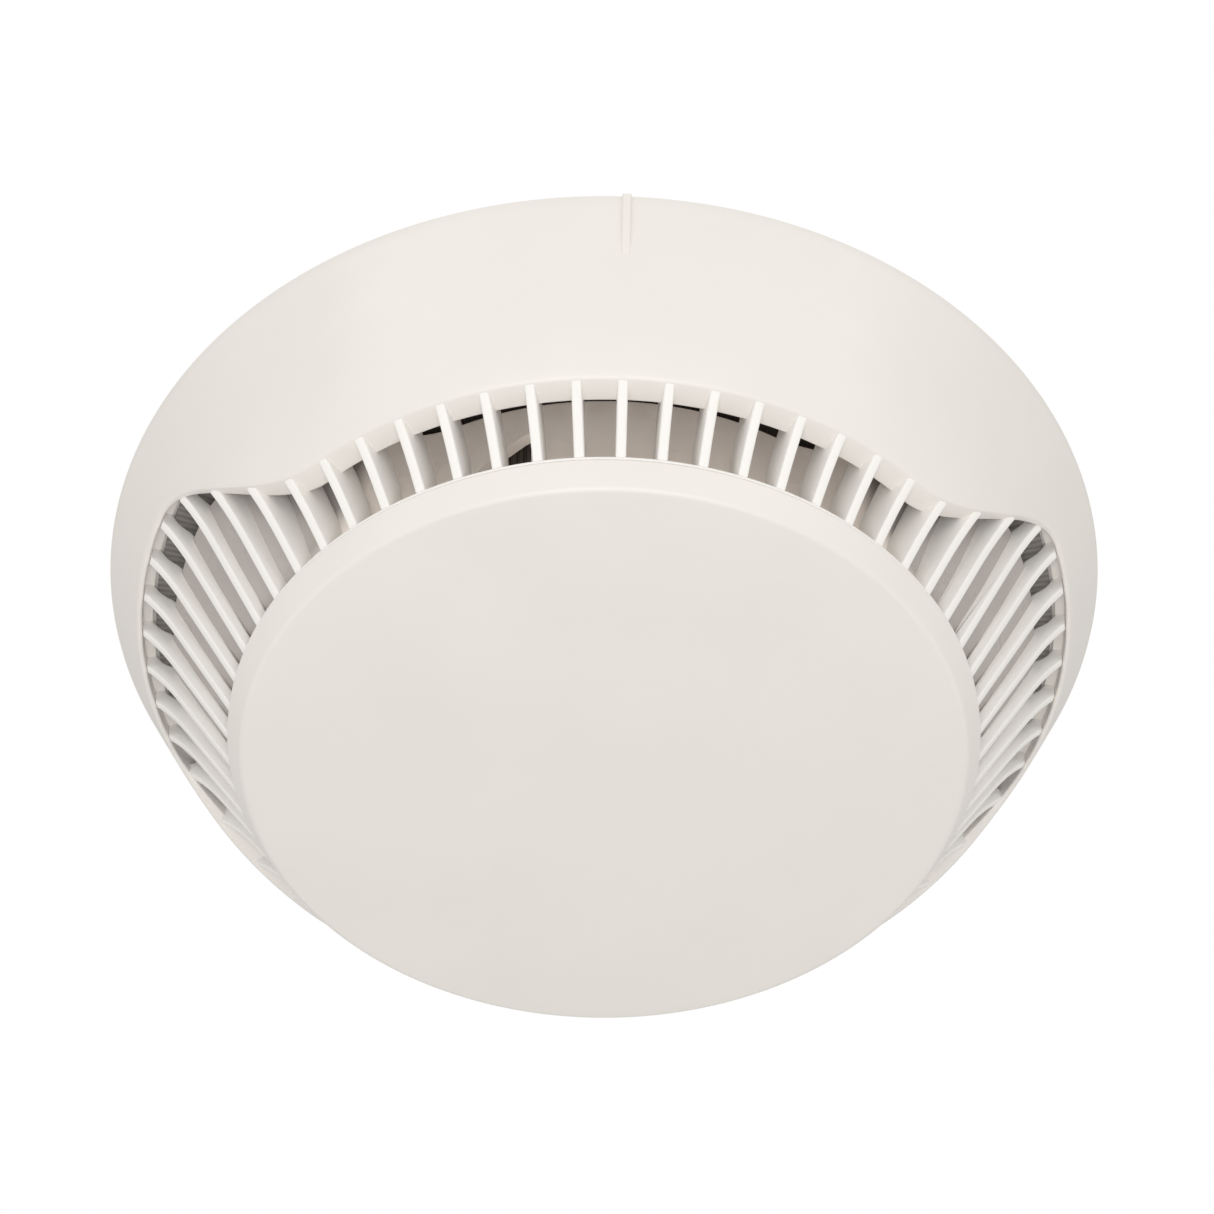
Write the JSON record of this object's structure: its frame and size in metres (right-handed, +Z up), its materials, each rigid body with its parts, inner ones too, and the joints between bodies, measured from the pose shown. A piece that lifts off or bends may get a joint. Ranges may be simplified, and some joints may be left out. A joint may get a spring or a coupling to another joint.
{
  "type": "smoke detector",
  "caption": "Round ceiling smoke detector: a vented optical head with a wavy ring of fins on a twist-lock mounting base.",
  "frame": {"origin": "centre of the base's ceiling face, on the cable entry's axis", "axes": "+Z up into the ceiling, the head hangs towards -Z; -Y is the side with the alignment rib; +X is to the right when that side faces the viewer"},
  "size_m": [0.104, 0.1043, 0.0314],
  "materials": {
    "cover_plastic": "warm white moulded plastic, fine satin texture",
    "cap_plastic": "warm white moulded plastic, smooth satin",
    "guide_plastic": "off-white moulded plastic, semi-gloss",
    "base_plastic": "warm white moulded plastic, satin",
    "housing_plastic": "light grey moulded plastic, satin",
    "screen_mesh": "fine dark woven steel mesh",
    "chamber_plastic": "black textured plastic",
    "led_lens": "blue tinted clear epoxy",
    "component_black": "black moulding compound",
    "clear_plastic": "clear acrylic, polished",
    "board_laminate": "green solder mask over glass laminate",
    "capacitor_can": "bright aluminium can",
    "ceramic_tan": "tan ceramic",
    "tinned_steel": "tinned sheet steel",
    "reed_glass": "green tinted glass",
    "red_led": "red diffused epoxy",
    "spring_metal": "bright phosphor bronze strip",
    "contact_brass": "bright brass strip",
    "plated_steel": "bright zinc plated steel",
    "dark_steel": "black oxide steel"
  },
  "bodies": {
    "base": {"base_plate": "base_plastic", "contact_spring_a": "spring_metal", "contact_spring_b": "spring_metal", "contact_spring_c": "spring_metal", "contact_spring_d": "spring_metal", "terminal_clamps": "plated_steel", "terminal_screws": "plated_steel"},
    "lock": {"lock_screw": "dark_steel"},
    "head": {"outer_cover": "cover_plastic", "fin_cage": "cover_plastic", "face_cap": "cap_plastic", "air_guide": "guide_plastic", "insect_screen": "screen_mesh", "chamber_cover": "chamber_plastic", "chamber_base": "chamber_plastic", "ir_led": "led_lens", "photodiode": "component_black", "receiver_lens": "clear_plastic", "rear_housing": "housing_plastic", "circuit_board": "board_laminate", "microcontroller": "component_black", "signal_amplifier": "component_black", "smoothing_capacitors": "capacitor_can", "ceramic_capacitors": "ceramic_tan", "resistors": "component_black", "bridge_rectifier": "component_black", "shield_can": "tinned_steel", "reed_switch": "reed_glass", "alarm_led": "red_led", "light_pipe": "clear_plastic", "contact_blade_a": "contact_brass", "contact_blade_b": "contact_brass", "contact_blade_c": "contact_brass", "contact_blade_d": "contact_brass", "board_screws": "plated_steel", "cover_screws": "plated_steel"}
  },
  "joints": [
    {"name": "head_twist", "type": "hinge", "parent": "base", "child": "head", "pos_m": [0, 0, 0], "axis": [0, 0, -1], "range_deg": [0, 20]},
    {"name": "lock_screw_travel", "type": "slide", "parent": "base", "child": "lock", "axis": [-0.1736, -0.9848, 0], "range_m": [0, 0.0021]}
  ]
}
